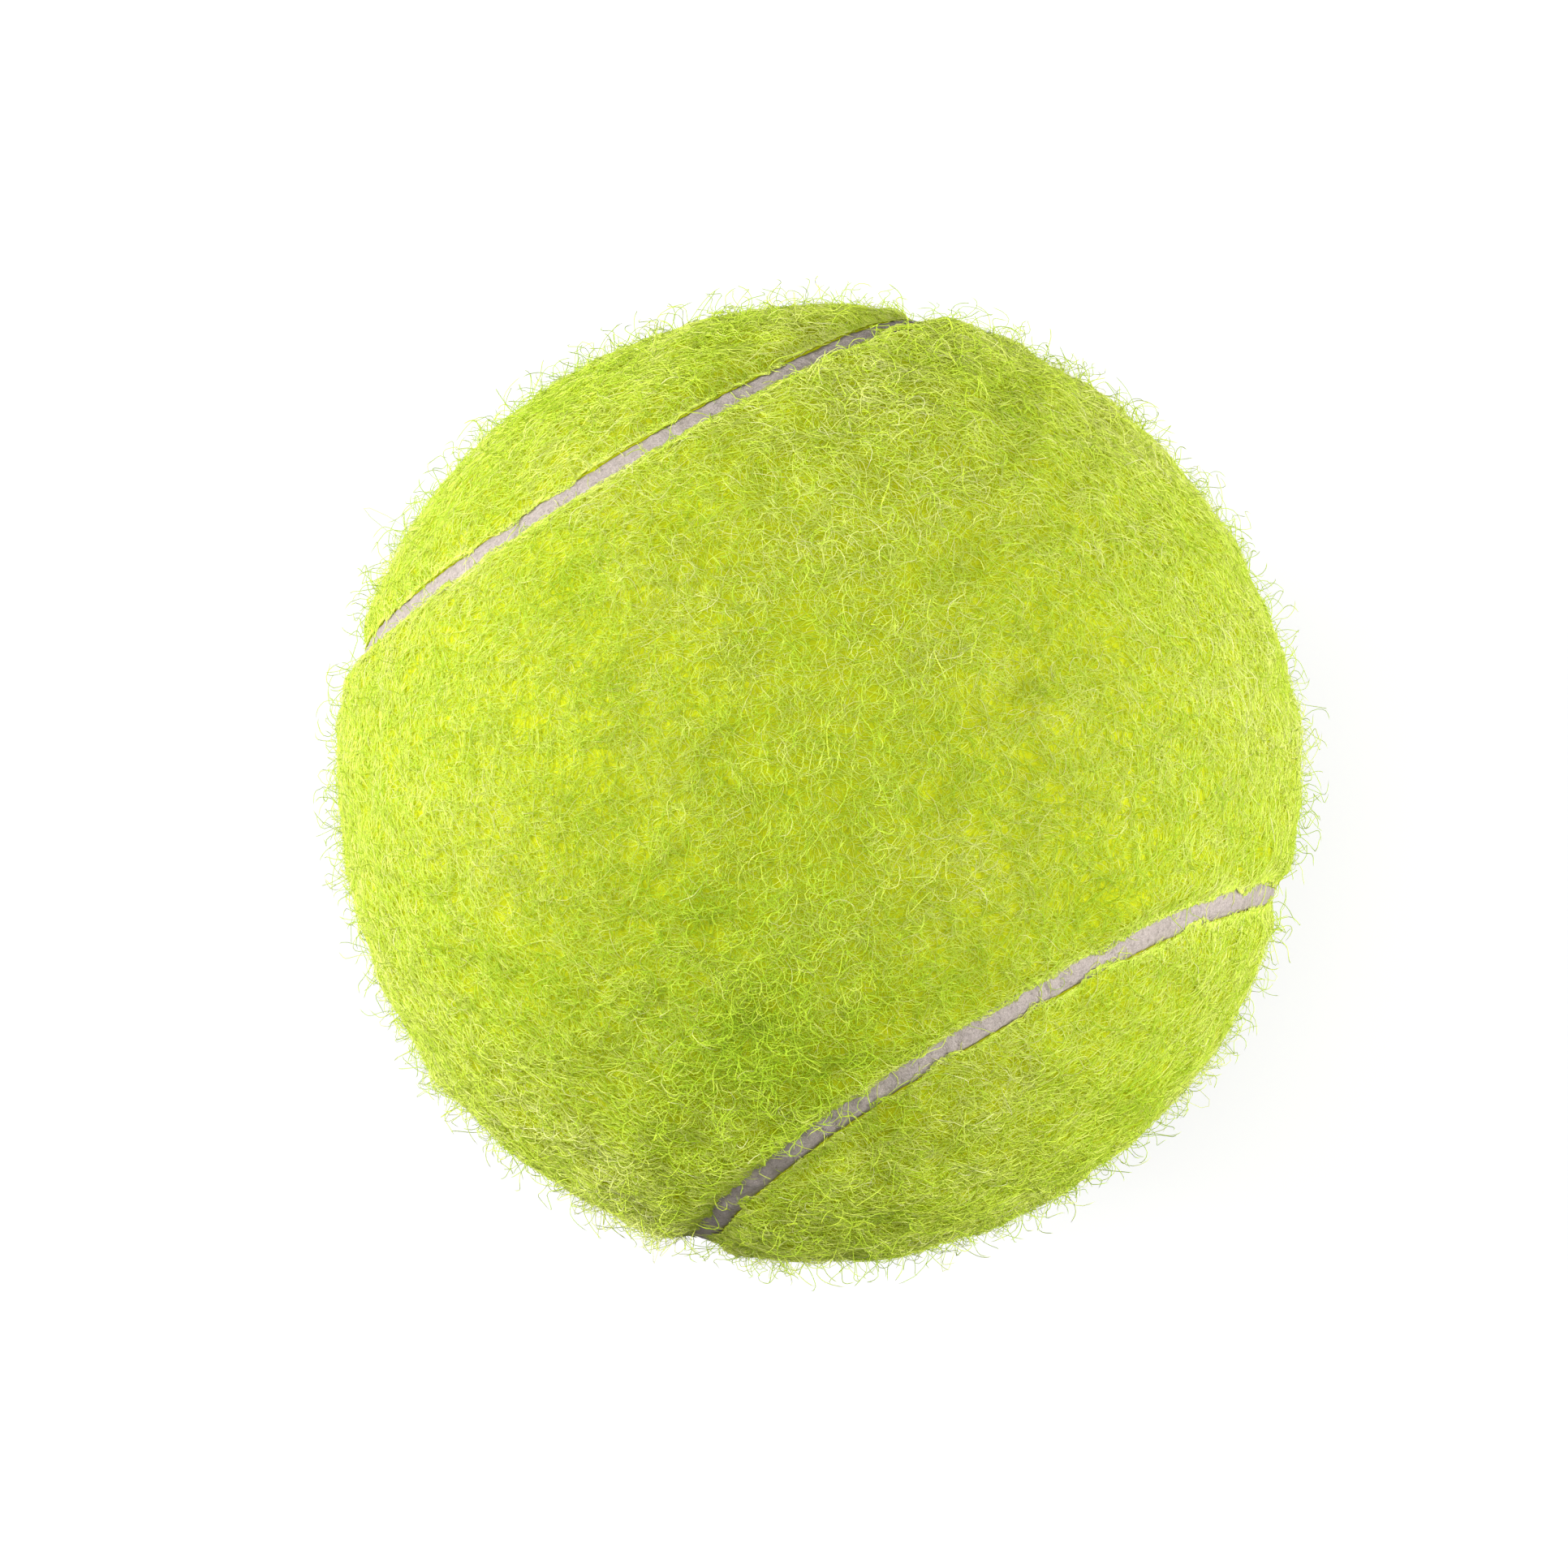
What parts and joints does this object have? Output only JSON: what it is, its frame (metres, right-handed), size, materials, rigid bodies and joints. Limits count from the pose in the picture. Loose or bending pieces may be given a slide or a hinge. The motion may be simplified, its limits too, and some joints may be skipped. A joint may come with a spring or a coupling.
{
  "type": "tennis ball",
  "caption": "Hollow rubber ball covered in fuzzy optic-yellow felt, cut as interlocking dumbbell panels and parted by a recessed pale rubber seam, for racket games.",
  "frame": {"origin": "centre of the ball", "axes": "+Z through the middle of the upper felt panel's waist, +X along that panel's length towards one of its lobes, +Y towards a lobe of the lower panel"},
  "size_m": [0.0666, 0.0666, 0.0666],
  "materials": {
    "core_rubber": "matt moulded rubber, ground on the outside",
    "cement": "dried rubber cement, slightly glossy",
    "backing_cloth": "plain woven undyed cotton",
    "felt": "matted curly wool and nylon nap, optic yellow",
    "seam_rubber": "matt pale grey rubber with fine specks"
  },
  "bodies": {
    "root": {"core_half_a": "core_rubber", "core_half_b": "core_rubber", "core_joint_cement": "cement", "core_cement_coat": "cement", "backing_cloth_a": "backing_cloth", "backing_cloth_b": "backing_cloth", "felt_panel_a": "felt", "felt_panel_b": "felt", "seam_rubber": "seam_rubber"}
  },
  "joints": []
}
